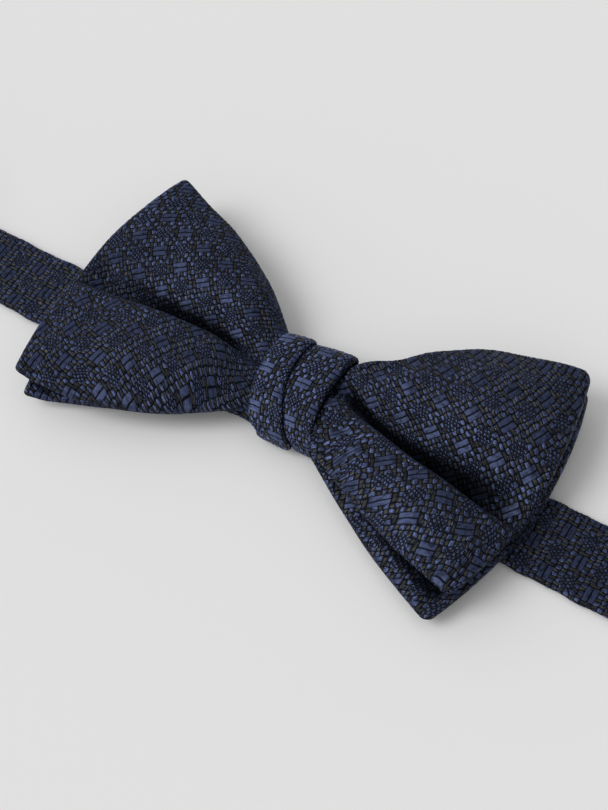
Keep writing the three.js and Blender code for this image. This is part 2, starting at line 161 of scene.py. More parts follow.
# ---- arithmetic that works on numbers and on shader nodes alike ----
class Field:
    """A socket of a material's node tree, with arithmetic that adds Math nodes."""

    def __init__(self, socket):
        self.socket = socket
        self.tree = socket.id_data

    def __add__(self, other):
        return apply("ADD", self, other)

    def __sub__(self, other):
        return apply("SUBTRACT", self, other)

    def __mul__(self, other):
        return apply("MULTIPLY", self, other)

    def __truediv__(self, other):
        return apply("DIVIDE", self, other)

    def __rsub__(self, other):
        return apply("SUBTRACT", other, self)

    __radd__ = __add__
    __rmul__ = __mul__


NUMPY = {
    "FLOOR": np.floor, "FRACT": lambda x: x - np.floor(x), "ABSOLUTE": np.abs, "SQRT": np.sqrt,
    "MAXIMUM": np.maximum, "SINE": np.sin,
}


def put(tree, socket, value):
    """Links a Field to an input socket, or sets a plain value on it."""
    if isinstance(value, Field):
        tree.links.new(value.socket, socket)
    else:
        socket.default_value = value


def apply(operation, *values):
    """The result of an operation: numpy's on plain values, and a new Math node's on Fields."""
    fields = [v for v in values if isinstance(v, Field)]
    if not fields:
        return NUMPY[operation](*values)
    tree = fields[0].tree
    node = tree.nodes.new("ShaderNodeMath")
    node.operation = operation
    for socket, value in zip(node.inputs, values):
        put(tree, socket, value)
    return Field(node.outputs[0])


def floor(x):
    return apply("FLOOR", x)


def fract(x):
    return apply("FRACT", x)


def size(x):
    return apply("ABSOLUTE", x)


def root(x):
    return apply("SQRT", x)


def sine(x):
    return apply("SINE", x)


def most(x, y):
    return apply("MAXIMUM", x, y)


def rise(low, high, x):
    """0 before low, 1 after high, and a smooth step between them."""
    if not isinstance(x, Field):
        t = np.clip((x - low) / (high - low), 0, 1)
        return t * t * (3 - 2 * t)
    node = x.tree.nodes.new("ShaderNodeMapRange")
    node.interpolation_type = "SMOOTHSTEP"
    node.inputs["From Min"].default_value = low
    node.inputs["From Max"].default_value = high
    put(x.tree, node.inputs["Value"], x)
    return Field(node.outputs["Result"])


def mix(a, b, t):
    return a + (b - a) * t


def odd(x):
    """1 where the whole part of x is odd, 0 where it is even."""
    return floor(fract(floor(x) / 2) * 2 + 0.5)


def dome(x, y, half_width, half_height):
    """A flat-topped bump, 1 at its middle and 0 outside a rounded box of that half width and height."""
    x, y = x * x / half_width**2, y * y / half_height**2
    return most(1 - x * x - y * y, 0.0)


# ---- the weave ----
def checks(a, b):
    """A plain checkerboard of cells: weft on top as broad dots, and warp on top between them."""
    other = odd(floor(a) + floor(b) + 0.5)
    x, y = fract(a) - 0.5, fract(b) - 0.5
    weft = (1 - other) * dome(x, y, 0.57, 0.47)
    warp = other * dome(x, y, 0.38, 0.52) * 0.55
    return weft, warp


def weave(a, b):
    """How high the blue weft and the dark warp stand at a place on the cloth, given in cells, and 1
    where the threads there pass over single cells.

    The weft runs along a. Two motifs take turns in tiles: a pair of long weft bars closed
    by warp bars, and a round flower of fine dots. Plain dots fill what is between.
    """
    b = b / CELL_TALL
    x = fract(a / TILE) * TILE - TILE / 2
    y = fract(b / TILE_TALL) * TILE_TALL - TILE_TALL / 2
    flower_tile = odd(floor(a / TILE) + floor(b / TILE_TALL) + 0.5)
    slack_a = sine(b * 2.3 + sine(a * 1.3) * 1.5) * 0.11
    slack_b = sine(a * 2.1 + sine(b * 1.7) * 1.5) * 0.09
    weft, warp = checks(a + slack_a, b + slack_b)

    ax, ay = size(x + slack_a * 0.4), size(y + slack_b * 0.25)
    off_bar = (ay - 0.54) * (ay - 0.54) / 0.235
    bar = (1 - rise(1.78, 1.98, ax)) * most(1 - off_bar * off_bar, 0.0) * 0.72
    float_end = (1 - rise(0.62, 0.92, ay)) * most(1 - (ax - 2.4) * (ax - 2.4) / 0.16, 0.0) * 0.6
    beside_bar = rise(1.9, 2.1, ax) * 0.12
    in_bars = (1 - flower_tile) * (1 - rise(2.74, 2.84, ax)) * (1 - rise(0.98, 1.06, ay + beside_bar))
    weft = mix(weft, bar, in_bars)
    warp = mix(warp, float_end, in_bars)

    away = root(x * x + y * y * 2.2)
    fine_weft, fine_warp = checks((a + slack_b) * 2.0, (b + slack_a) * 2.0)
    in_flower = flower_tile * (1 - rise(1.95, 2.25, away))
    weft = mix(weft, fine_weft * 1.25, in_flower)
    warp = mix(warp, fine_warp * 0.6, in_flower)
    return weft, warp, 1 - in_bars


# ---- materials ----
def new_material(name):
    material = bpy.data.materials.new(name)
    material.use_nodes = True
    tree = material.node_tree
    shader = tree.nodes["Principled BSDF"]
    return material, tree, shader


def noise(tree, vector, scale, detail=2.0):
    node = tree.nodes.new("ShaderNodeTexNoise")
    node.inputs["Scale"].default_value = scale
    node.inputs["Detail"].default_value = detail
    tree.links.new(vector, node.inputs["Vector"])
    return Field(node.outputs["Fac"])


def chance(tree, x, y):
    """A value from 0 to 1 that is different in every whole square of x and y."""
    node = tree.nodes.new("ShaderNodeTexWhiteNoise")
    node.noise_dimensions = "2D"
    tree.links.new(combine(tree, floor(x), floor(y)), node.inputs["Vector"])
    return Field(node.outputs["Value"])


def combine(tree, x, y, z=0.0):
    node = tree.nodes.new("ShaderNodeCombineXYZ")
    for socket, value in zip(node.inputs, (x, y, z)):
        put(tree, socket, value)
    return node.outputs[0]


def blend_colours(tree, first, second, factor):
    """A colour between two, which are given as numbers or as sockets."""
    node = tree.nodes.new("ShaderNodeMix")
    node.data_type = "RGBA"
    put(tree, node.inputs["Factor"], factor)
    for socket, colour in ((node.inputs[6], first), (node.inputs[7], second)):
        if isinstance(colour, tuple):
            socket.default_value = (*colour, 1.0)
        else:
            tree.links.new(colour, socket)
    return node.outputs[2]


def scaled(tree, colour, factor):
    """The colour of a socket times a number."""
    node = tree.nodes.new("ShaderNodeVectorMath")
    node.operation = "SCALE"
    tree.links.new(colour, node.inputs[0])
    put(tree, node.inputs["Scale"], factor)
    return node.outputs[0]


def add_bump(tree, shader, height, distance):
    """Lets a height field tilt a shader's surface; distance is in millimetres."""
    node = tree.nodes.new("ShaderNodeBump")
    node.inputs["Distance"].default_value = distance * MM
    put(tree, node.inputs["Height"], height)
    tree.links.new(node.outputs["Normal"], shader.inputs["Normal"])


def silk_jacquard():
    """Blue weft over near-black warp, woven in relief, with a sheen that runs with each thread."""
    material, tree, shader = new_material("silk_jacquard")
    place = tree.nodes.new("ShaderNodeUVMap")
    place.uv_map = "Weave"
    parts = tree.nodes.new("ShaderNodeSeparateXYZ")
    tree.links.new(place.outputs["UV"], parts.inputs[0])
    a, b = Field(parts.outputs[0]), Field(parts.outputs[1])
    weft, warp, single = weave(a, b)
    on_top = rise(-0.06, 0.1, weft - warp)
    height = most(weft, warp)

    along_weft = noise(tree, combine(tree, a * 0.8, b * 9.0), 1.0)
    along_warp = noise(tree, combine(tree, a * 9.0, b * 0.8), 1.0)
    lines = mix(size(fract(a * 4.2) - 0.5), size(fract(b * 4.2) - 0.5), on_top) * 2
    fibre = mix(along_warp, along_weft, on_top) * 0.72 + lines * 0.28
    uneven = noise(tree, combine(tree, a * 0.9, b * 0.9), 1.0, 3.0)
    # the point attribute holds painted shade (valleys, beside the knot, under the other bow, the front bow's
    # underside, the knot's sides) and, where it is negative, painted light (the rest of the knot)
    painted_shade_attribute = tree.nodes.new("ShaderNodeAttribute")
    painted_shade_attribute.attribute_name = "Depth"
    painted_light_factor = 1 - Field(painted_shade_attribute.outputs["Fac"])

    lit_weft = blend_colours(tree, (0.015, 0.024, 0.070), (0.108, 0.139, 0.274), fibre)
    lit_warp = blend_colours(tree, (0.013, 0.013, 0.012), (0.088, 0.086, 0.080), fibre)
    thread = blend_colours(tree, lit_warp, lit_weft, on_top)
    grain = noise(tree, combine(tree, a * 3.1, b * 3.1), 1.0, 1.0)
    tone = mix(0.62, 1.42, chance(tree, a, b)) * mix(0.55, 1.5, rise(0.3, 0.7, grain))
    thread = scaled(tree, thread, mix(0.82, tone, single))
    # the low places of the weave between the threads sink to near black as painted shade, and the whole
    # colour takes the painted shade and painted light of the point attribute
    painted_shade_mix = rise(0.04, 0.7, height) * mix(0.35, 1.6, rise(0.32, 0.68, uneven)) * painted_light_factor
    colour = blend_colours(tree, (0.005, 0.006, 0.010), thread, painted_shade_mix)
    colour = scaled(tree, colour, painted_light_factor)
    tree.links.new(colour, shader.inputs["Base Color"])
    put(tree, shader.inputs["Roughness"], mix(0.50, 0.46, on_top) + fibre * 0.10)
    # the reflection is also cut down in the painted shade and raised in the painted light of the point
    # attribute
    put(tree, shader.inputs["Specular IOR Level"], painted_light_factor * mix(0.1, 0.5, rise(0.1, 0.5, height)))
    shader.inputs["Metallic"].default_value = 0.78
    shader.inputs["Anisotropic"].default_value = 0.97
    shader.inputs["Sheen Weight"].default_value = 0.03
    shader.inputs["Sheen Roughness"].default_value = 0.4
    shader.inputs["Sheen Tint"].default_value = (0.55, 0.62, 1.0, 1.0)

    tangent = tree.nodes.new("ShaderNodeTangent")
    tangent.direction_type = "UV_MAP"
    tangent.uv_map = "Weave"
    tree.links.new(tangent.outputs[0], shader.inputs["Tangent"])
    put(tree, shader.inputs["Anisotropic Rotation"], on_top * 0.25)
    add_bump(tree, shader, height + fibre * 0.16, 0.17)
    return material


def canvas():
    """Undyed interlining: a coarse plain weave."""
    material, tree, shader = new_material("canvas")
    place = tree.nodes.new("ShaderNodeTexCoord")
    parts = tree.nodes.new("ShaderNodeSeparateXYZ")
    tree.links.new(place.outputs["Object"], parts.inputs[0])
    per_metre = 1400.0
    weft, warp = checks(Field(parts.outputs[0]) * per_metre, Field(parts.outputs[1]) * per_metre)
    height = most(weft, warp)
    mottle = noise(tree, place.outputs["Object"], 300.0)
    yarn = blend_colours(tree, (0.52, 0.47, 0.36), (0.70, 0.66, 0.55), mottle)
    # darker where the weave sinks between the yarns: painted shade
    colour = blend_colours(tree, (0.30, 0.27, 0.20), yarn, rise(0.0, 0.5, height))
    tree.links.new(colour, shader.inputs["Base Color"])
    put(tree, shader.inputs["Roughness"], 0.97 - height * 0.1)
    add_bump(tree, shader, height, 0.12)
    return material


def cotton():
    """Navy sewing thread, with the slanting ridges of its twist."""
    material, tree, shader = new_material("cotton_thread")
    place = tree.nodes.new("ShaderNodeTexCoord")
    parts = tree.nodes.new("ShaderNodeSeparateXYZ")
    tree.links.new(place.outputs["Object"], parts.inputs[0])
    x, y, z = (Field(o) for o in parts.outputs)
    twist = size(fract((x + y + z * 0.7) * 2400.0) - 0.5) * 2
    fuzz = noise(tree, place.outputs["Object"], 5000.0)
    # darker in the low parts of the twist and lighter on its ridges: painted shade and painted highlight
    colour = blend_colours(tree, (0.004, 0.006, 0.016), (0.020, 0.028, 0.075), twist * 0.6 + fuzz * 0.4)
    tree.links.new(colour, shader.inputs["Base Color"])
    put(tree, shader.inputs["Roughness"], 0.65 + fuzz * 0.25)
    add_bump(tree, shader, twist + fuzz * 0.4, 0.06)
    return material


def nickel():
    """Plated metal: fine rolling marks and a few dull patches."""
    material, tree, shader = new_material("nickel_plate")
    place = tree.nodes.new("ShaderNodeTexCoord")
    stretch = tree.nodes.new("ShaderNodeMapping")
    stretch.inputs["Scale"].default_value = (2600.0, 160.0, 900.0)
    tree.links.new(place.outputs["Object"], stretch.inputs["Vector"])
    marks = noise(tree, stretch.outputs[0], 1.0, 4.0)
    patches = noise(tree, place.outputs["Object"], 140.0)
    colour = blend_colours(tree, (0.50, 0.50, 0.51), (0.70, 0.70, 0.71), patches)
    tree.links.new(colour, shader.inputs["Base Color"])
    put(tree, shader.inputs["Roughness"], 0.17 + marks * 0.12 + patches * 0.10)
    shader.inputs["Metallic"].default_value = 1.0
    add_bump(tree, shader, marks, 0.012)
    return material


# ---- camera, floor and light ----
def make_camera():
    """The viewpoint: in front of the bow, off to its right and towards its lower edge."""
    azimuth, elevation, roll = (math.radians(d) for d in (31.864, 57.996, -0.428))
    target = Vector((-0.222, 0.791, 0)) * MM
    distance = 381.03 * MM
    back = Vector((
        math.sin(azimuth) * math.cos(elevation), -math.cos(azimuth) * math.cos(elevation),
        math.sin(elevation),
    ))
    level = Vector((math.cos(azimuth), math.sin(azimuth), 0))
    upright = back.cross(level)
    right = level * math.cos(roll) + upright * math.sin(roll)
    up = upright * math.cos(roll) - level * math.sin(roll)
    data = bpy.data.cameras.new("camera")
    data.lens = 73.15
    data.clip_start, data.clip_end = 0.01, 20.0
    camera = bpy.data.objects.new("camera", data)
    turn = Matrix((right, up, back)).transposed().to_4x4()
    camera.matrix_world = Matrix.Translation(target + back * distance) @ turn
    bpy.context.scene.collection.objects.link(camera)
    bpy.context.scene.camera = camera


def make_stage():
    """Pale paper, a sky that is brightest at the front left, and one broad sun."""
    material, _, shader = new_material("floor_paper")
    shader.inputs["Roughness"].default_value = 0.9
    shader.inputs["Base Color"].default_value = (0.80, 0.80, 0.80, 1)
    bpy.ops.mesh.primitive_plane_add(size=12.0, location=(0, 0, -0.4 * MM))
    floor_plane = bpy.context.object
    floor_plane.name = "floor"
    floor_plane.data.materials.append(material)

    world = bpy.data.worlds.new("world")
    world.use_nodes = True
    sky = world.node_tree.nodes["Background"]
    sky.inputs["Color"].default_value = (1, 1, 1, 1)
    place = world.node_tree.nodes.new("ShaderNodeTexCoord")
    parts = world.node_tree.nodes.new("ShaderNodeSeparateXYZ")
    world.node_tree.links.new(place.outputs["Generated"], parts.inputs[0])
    rightward, backward = Field(parts.outputs[0]), Field(parts.outputs[1])
    put(world.node_tree, sky.inputs["Strength"], 0.64 - rightward * 0.36 - backward * 0.25)
    bpy.context.scene.world = world

    key = bpy.data.lights.new("key", "SUN")
    key.energy = 1.22
    key.angle = math.radians(32)
    lamp = bpy.data.objects.new("key", key)
    lamp.rotation_mode = "QUATERNION"
    lamp.rotation_quaternion = Vector((-0.50, -0.44, 0.76)).to_track_quat("Z", "Y")
    bpy.context.scene.collection.objects.link(lamp)
    bpy.context.scene.view_settings.view_transform = "Standard"


# ---- meshes from grids ----
def corners(grid):
    """For each square of a grid of values, the values at its four corners."""
    return np.stack([grid[:-1, :-1], grid[1:, :-1], grid[1:, 1:], grid[:-1, 1:]], axis=2)


def make_piece(name, points, faces, places, material):
    """A smooth mesh object from points in millimetres, four-cornered faces and weave places in cells."""
    mesh = bpy.data.meshes.new(name)
    mesh.vertices.add(len(points))
    mesh.vertices.foreach_set("co", (np.asarray(points) * MM).astype(np.float32).ravel())
    mesh.loops.add(faces.size)
    mesh.loops.foreach_set("vertex_index", faces.astype(np.int32).ravel())
    mesh.polygons.add(len(faces))
    mesh.polygons.foreach_set("loop_start", np.arange(0, faces.size, 4, dtype=np.int32))
    mesh.polygons.foreach_set("use_smooth", np.ones(len(faces), bool))
    mesh.update()
    mesh.validate()
    layer = mesh.uv_layers.new(name="Weave")
    layer.data.foreach_set("uv", places.astype(np.float32).ravel())
    if material:
        mesh.materials.append(material)
    piece = bpy.data.objects.new(name, mesh)
    bpy.context.scene.collection.objects.link(piece)
    return piece


def normals_of(points):
    """Unit normals of a grid of points, from its neighbours along both ways."""
    normal = np.cross(np.gradient(points, axis=0), np.gradient(points, axis=1))
    return normal / np.maximum(np.linalg.norm(normal, axis=2, keepdims=True), 1e-9)


def pillow(top, bottom, top_places, bottom_places):
    """A closed skin from two grids that meet at their rims: points, faces and places for make_piece."""
    rows, columns = top.shape[:2]
    ids = np.arange(rows * columns).reshape(rows, columns)
    under = ids.copy()
    under[1:-1, 1:-1] = rows * columns + np.arange((rows - 2) * (columns - 2)).reshape(rows - 2, -1)
    points = np.concatenate([top.reshape(-1, 3), bottom[1:-1, 1:-1].reshape(-1, 3)])
    upper = corners(ids).reshape(-1, 4)
    lower = corners(under).reshape(-1, 4)[:, ::-1]
    upper_places = corners(top_places).reshape(-1, 4, 2)
    lower_places = corners(bottom_places).reshape(-1, 4, 2)[:, ::-1]
    return points, np.concatenate([upper, lower]), np.concatenate([upper_places, lower_places])


def closer_at_ends(count, pull=0.5):
    """Values from -1 to 1, drawn closer together towards both ends."""
    t = np.linspace(-1, 1, count)
    return mix(t, np.sin(t * math.pi / 2), pull)


# ---- the bows ----
def along(heights, s):
    """A smooth curve through heights given at STATIONS; level before the first."""
    value = np.full_like(s, heights[0])
    for i in range(len(STATIONS) - 1):
        value = value + (heights[i + 1] - heights[i]) * rise(STATIONS[i], STATIONS[i + 1], s)
    return value


def cut_corners(s, t, length, height, radius):
    """The same places, with the outer corners drawn in to a round of that radius."""
    e = np.clip(1 - (1 - s) * length / radius, 0, 1)
    f = np.clip(1 - (1 - np.abs(t)) * height / radius, 0, 1)
    pull = 1 - np.maximum(e, f) / np.maximum(np.hypot(e, f), 1e-6)
    pull = np.where(np.minimum(e, f) > 0, pull, 0)
    return s - e * pull * radius / length, t - np.sign(t) * f * pull * radius / height


def valley_line(side, x):
    """How high a wing's valley runs, at a distance from the middle of the knot. The left one runs
    level beside the knot and then falls in a nearly straight line. The right one climbs out of the
    knot and then falls, steeply at first."""
    if side == "left":
        return VALLEY_Y - 0.155 * np.maximum(np.hypot(x - 14, 6) - 12, 0)
    beyond = np.maximum(x - 9, 0)
    return mix(VALLEY_Y, 4.9 - 12 * (1 - np.exp(-beyond / 18)), rise(0, 11, x))


def wing(bow, side, s, t):
    """The middle surface of half a bow, and how much painted shade each point gets, 0 to 1. s runs from the
    waist to the outer edge, 0 to 1, and t from the lower edge, -1, through the valley, 0, to the upper
    edge, 1."""
    w = bow[side]
    sign = -1 if side == "left" else 1

    # its outline
    s, t = cut_corners(s, t, bow["corner_x"], w["reach"][1], CORNER_RADIUS[side])
    x_plain = s * bow["corner_x"]
    out = np.clip((x_plain - w["waist_x"]) / (bow["corner_x"] - w["waist_x"]), 0, 1)
    rounds = np.where(t < 0, w["round"][0], w["round"][1])
    flare = mix(out, np.sin(math.pi / 2 * out**0.85), rounds)
    reach = np.where(t < 0, w["reach"][0], w["reach"][1])
    half_height = mix(mix(*WAIST_HALF, rise(3, 7, x_plain)), reach, flare)
    for centre, width, height in w["swell"]:
        half_height = half_height + np.where(t < 0, 0, height * np.exp(-(((s - centre) / width) ** 2)))
    shift = bow["shift_y"] * s * s
    valley_y = valley_line(side, x_plain)
    edge_y = np.where(t < 0, shift - half_height, shift + half_height)
    y = mix(valley_y, edge_y, np.abs(t))
    v = (y - shift) / half_height
    ends = w["toe"] * np.clip(-v, 0, 1) ** 1.5 + w["tip"] * np.clip(v, 0, 1)
    x = sign * (x_plain + w["bulge"] * (1 - v * v) * s**3 + ends * s * s)

    # its height
    valley, crest, ridge = (along(w[k], s) for k in ("valley", "crest", "ridge"))
    edge = np.where(t < 0, along(w["lower"], s), along(w["upper"], s))
    top = np.where(t < 0, crest, ridge)
    peak = np.where(t < 0, np.clip(w["fold_width"] / np.abs(edge_y - valley_y), 0.05, 0.4), 0.55)
    a = np.abs(t)
    slope = np.sin(math.pi / 2 * np.minimum(a / peak, 1)) ** w["hollow"]
    climb = np.where(t < 0, rise(0, 1, a / peak), slope)
    fall = np.cos(math.pi / 2 * np.clip((a - peak) / (1 - peak), 0, 1) ** 1.25)
    z = np.where(a < peak, mix(valley, top, climb), mix(edge, top, fall))
    z = mix(bow["waist_z"], z, rise(3, 9, x_plain))

    # its painted shade: dark in the valley, beside the knot, and where the other bow covers it
    strength, width, start, fade = w["shadow"]
    width = width * mix(0.3, 1, rise(0.15, 0.85, s))
    painted_shade_mix = np.where(t < 0, 1 - rise(0.3, 1.0, a / peak), 1 - rise(0.45, 1.0, (y - valley_y) / width))
    painted_shade_mix = painted_shade_mix * strength * rise(start, start + 0.1, s) * (1 - 0.75 * rise(fade, fade + 0.18, s))
    edge_x, darkness = w["knot_edge"]
    painted_shade_mix = np.maximum(painted_shade_mix, darkness * (1 - rise(0.0, 1.2, x_plain - edge_x + 0.03 * y)))
    painted_shade_covered = bow["painted_shade_covered"] * rise(1.8, 4.6, np.abs(edge_y - y))
    painted_shade_covered = painted_shade_covered * rise(0.3, 0.5, s) * (1 - rise(0.93, 0.97, s))
    return np.stack([x, y, z, np.maximum(painted_shade_mix, painted_shade_covered)], axis=-1)


def bow_grid(bow, us, ts):
    """The bow's middle surface on a grid, from its left edge to its right one."""
    s, t = np.meshgrid(np.abs(us), ts, indexing="ij")
    left, right = wing(bow, "left", s, t), wing(bow, "right", s, t)
    return np.where(us[:, None, None] < 0, left, right)


def measured(points, axis):
    """How far along a grid each point lies, from the grid's first row or column."""
    steps = np.linalg.norm(np.diff(points, axis=axis), axis=2)
    start = np.zeros_like(np.take(steps, [0], axis=axis))
    return np.concatenate([start, np.cumsum(steps, axis=axis)], axis=axis)


def cloth_places(skin, middle, ts, phase):
    """Weave places on one skin of a bow, in cells. The cloth is cut on the bias and fans out of the
    knot: its length runs away from a point behind the knot, its width runs round that point, and
    both follow the skin over the rim."""
    valley = int(np.argmin(np.abs(ts)))
    waist = len(skin) // 2
    way = measured(skin, 1)
    way = way - way[:, valley : valley + 1] + middle[:, valley : valley + 1, 1] - KNOT_Y
    over_rim = measured(skin, 0) - measured(middle, 0)
    over_rim = over_rim - over_rim[waist : waist + 1]
    x = middle[:, valley : valley + 1, 0]
    reach = np.abs(x) + FAN_START
    gathered = ((reach / FAN_EVEN) ** 4 + 0.8**4) ** 0.25
    stretch = np.where(x < 0, 1.12, 1.0)
    across = np.arctan2(way, reach) * reach / gathered * stretch
    length = np.sign(x) * (np.hypot(reach, way) - FAN_START) * stretch + over_rim
    diagonal = math.sqrt(0.5) / CELL
    return np.stack([length + across, across - length], axis=-1) * diagonal + phase


def rounded_rim(points, thickness):
    """How full the layer is, 0 at its rim and 1 once a rounded edge's width inside it."""
    radius = thickness * 0.55
    low, left = measured(points, 1), measured(points, 0)
    fullness = np.ones(points.shape[:2])
    for way in (low, low[:, -1:] - low, left, left[-1:] - left):
        inside = np.clip(way / radius, 0, 1)
        fullness = fullness * (1 - (1 - inside) ** 2)
    return np.sqrt(fullness)


def wrinkles(points):
    """Soft folds that fan out of the knot and fade towards the outer edges."""
    x, y = points[..., 0], points[..., 1]
    away = np.hypot(x, y)
    angle = np.arctan2(y, np.abs(x) + 4)
    fade = rise(11, 17, away) * (1 - rise(20, 58, away))
    waves = 0.5 * np.sin(angle * 15 + np.where(x < 0, 0.6, 2.1)) + 0.3 * np.sin(angle * 27 + 0.05 * x)
    drift = 0.25 * np.sin(0.17 * x + 0.11 * y + 1.0) * np.sin(0.13 * y - 0.07 * x)
    return waves * fade * 0.55 + drift * rise(15, 30, away)


def bow_grids(count, inset=0.0):
    """The places of a grid over a bow: closer together towards the edges and the valleys."""
    us = closer_at_ends(count[0], 0.25) * (1 - inset / 60)
    near = np.linspace(0, 1, count[1] // 2 + 1) ** 1.25
    return us, np.concatenate([-near[:0:-1], near]) * (1 - inset / 25)


def settle(bow, count=(84, 56)):
    """How far the cloth of a bow moves, in millimetres, when it is filled with a little air and held
    at its gathered waist: two grids of moves, for its upper and lower skin."""
    (points, faces, places), _ = bow_layer(bow, count, bow["thickness"], 0.0, 0.0)
    cloth = make_piece("settling", points, faces, places, None)
    held = cloth.vertex_groups.new(name="waist")
    held.add([int(i) for i in np.flatnonzero(np.abs(points[:, 0]) < HELD_X)], 1.0, "REPLACE")
    modifier = cloth.modifiers.new("cloth", "CLOTH")
    modifier.settings.quality = 6
    modifier.settings.mass = 0.2
    modifier.settings.vertex_group_mass = "waist"
    modifier.settings.use_pressure = True
    modifier.settings.uniform_pressure_force = 2.0
    modifier.settings.effector_weights.gravity = 0
    modifier.point_cache.frame_end = SETTLE_FRAMES
    for frame_number in range(1, SETTLE_FRAMES + 1):
        bpy.context.scene.frame_set(frame_number)
    ready = cloth.evaluated_get(bpy.context.evaluated_depsgraph_get())
    after = np.zeros(len(points) * 3, np.float32)
    ready.data.vertices.foreach_get("co", after)
    bpy.context.scene.frame_set(1)
    bpy.data.objects.remove(cloth)
    move = after.reshape(-1, 3) / MM - points
    far = np.linalg.norm(move, axis=1, keepdims=True)
    move = move * np.minimum(far, SETTLE_MOST) / np.maximum(far, 1e-9)
    us, ts = bow_grids(count)
    upper = move[: len(us) * len(ts)].reshape(len(us), len(ts), 3)
    lower = upper.copy()
    lower[1:-1, 1:-1] = move[len(us) * len(ts) :].reshape(len(us) - 2, len(ts) - 2, 3)
    return us, ts, (upper, lower)


def moves_at(settled, side, us, ts):
    """The settled cloth's moves at the places of another grid."""
    from_us, from_ts, moves = settled
    move = moves[0 if side > 0 else 1]
    rows = np.array([
        [np.interp(us, from_us, move[:, j, k]) for k in range(3)] for j in range(len(from_ts))
    ])
    return np.stack([
        np.stack([np.interp(ts, from_ts, rows[:, k, i]) for k in range(3)], axis=-1)
        for i in range(len(us))
    ])


def bow_layer(bow, count, thickness, phase, relief, inset=0.0, settled=None):
    """A padded layer of a bow, as points, faces and places, and the painted shade of its upper points."""
    us, ts = bow_grids(count, inset)
    middle = bow_grid(bow, us, ts)
    middle, painted_shade = middle[..., :3], middle[..., 3]
    middle[..., 2] += wrinkles(middle)
    gathered = mix(0.62, 1.0, rise(9, 18, np.abs(middle[..., 0])))
    half_thick = thickness / 2 * rounded_rim(middle, thickness) * gathered
    upright = np.zeros_like(middle)
    upright[..., 2] = 1
    normal = normals_of(middle)
    if normal[len(us) // 2, len(ts) // 2, 2] < 0:
        normal = -normal
    lean = normal * 0.35 + upright * 0.65
    lean = lean / np.linalg.norm(lean, axis=2, keepdims=True)
    skins = []
    for side in (1, -1):
        skin = middle + side * lean * half_thick[..., None]
        if settled:
            skin = skin + moves_at(settled, side, us, ts)
        places = cloth_places(skin, middle, ts, phase)
        weft, warp, _ = weave(places[..., 0], places[..., 1])
        skins.append((skin + side * normal * (np.maximum(weft, warp) * relief)[..., None], places))
    (top, top_places), (bottom, bottom_places) = skins
    bottom[[0, -1]], bottom[:, [0, -1]] = top[[0, -1]], top[:, [0, -1]]
    return pillow(top, bottom, top_places, bottom_places), painted_shade


def make_bows(silk, lining):
    """The front and rear bow: a padded silk skin over a sheet of canvas."""
    rear_phase = 20.7  # so that the motifs of the two don't line up
    for name, bow, phase in (("front_bow", FRONT, 0.0), ("rear_bow", REAR, rear_phase)):
        settled = settle(bow)
        (points, faces, places), painted_shade = bow_layer(
            bow, (300, 160), bow["thickness"], phase, RELIEF, settled=settled
        )
        piece = make_piece(name + "_silk", points, faces, places, silk)
        # painted shade: the underside skin gets an even darkening, the upper skin the shade worked out by
        # wing()
        under = np.full(len(points) - painted_shade.size, bow["painted_shade_under"])
        layer = piece.data.attributes.new("Depth", "FLOAT", "POINT")
        layer.data.foreach_set("value", np.concatenate([painted_shade.ravel(), under]).astype(np.float32))
        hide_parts(name + "_shell")
        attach(piece, "bow")
        (points, faces, places), _ = bow_layer(bow, (90, 50), 0.6, 0.0, 0.0, inset=1.6)
        core = make_piece(name + "_canvas", points, faces, places, lining)
        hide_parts(name + "_interlining")
        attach(core, "bow")


# ---- the knot ----
def resample(points, count, closed=False):
    """Points at even steps along a path."""
    path = np.concatenate([points, points[:1]]) if closed else points
    steps = np.linalg.norm(np.diff(path, axis=0), axis=1)
    way = np.concatenate([[0], np.cumsum(steps)])
    wanted = np.linspace(0, way[-1], count + 1 if closed else count)
    even = np.stack([np.interp(wanted, way, path[:, k]) for k in range(path.shape[1])], axis=1)
    return even[:-1] if closed else even


def soften(points, rounds):
    """A closed outline with its corners cut, over and over, until it is round."""
    for _ in range(rounds):
        after = np.roll(points, -1, axis=0)
        points = np.stack([0.75 * points + 0.25 * after, 0.25 * points + 0.75 * after], axis=1)
        points = points.reshape(-1, 2)
    return points


def knot_loop(count):
    """The oval loop, from the middle of the back round the wearer's upper side to the front."""
    angle = -math.pi / 2 + np.linspace(0, 2 * math.pi, 720, endpoint=False)
    power = 2 / KNOT["squareness"]
    centre = (KNOT["low"] + KNOT["high"]) / 2
    half_z = (KNOT["high"] - KNOT["low"]) / 2
    y = KNOT["half_y"] * np.sign(np.cos(angle)) * np.abs(np.cos(angle)) ** power
    z = centre + half_z * np.sign(np.sin(angle)) * np.abs(np.sin(angle)) ** power
    loop = resample(np.stack([y, z], axis=1), count, closed=True)
    step = np.roll(loop, -1, axis=0) - np.roll(loop, 1, axis=0)
    out = np.stack([step[:, 1], -step[:, 0]], axis=1)
    return loop, out / np.linalg.norm(out, axis=1, keepdims=True)


def knot_profile(pleat):
    """The knot cut across its wrap: x from its middle, and how far out of the loop. The left half
    laps over the right one and ends in a folded edge at pleat, with a slot under it."""
    return np.array([
        (-8.2, 0.0), (-8.5, 0.4), (-8.5, 1.2), (-8.0, 1.8), (-5.6, 2.1), (pleat - 1.4, 2.2),
        (pleat - 0.2, 2.15), (pleat + 0.35, 1.75), (pleat + 0.2, 1.3), (pleat - 0.6, 0.8),
        (pleat + 0.4, 0.75), (pleat + 0.7, 1.15), (pleat + 1.8, 1.4), (4.6, 1.6), (7.7, 1.5),
        (8.7, 1.1), (8.7, 0.3), (8.3, 0.0), (0.0, 0.0),
    ])


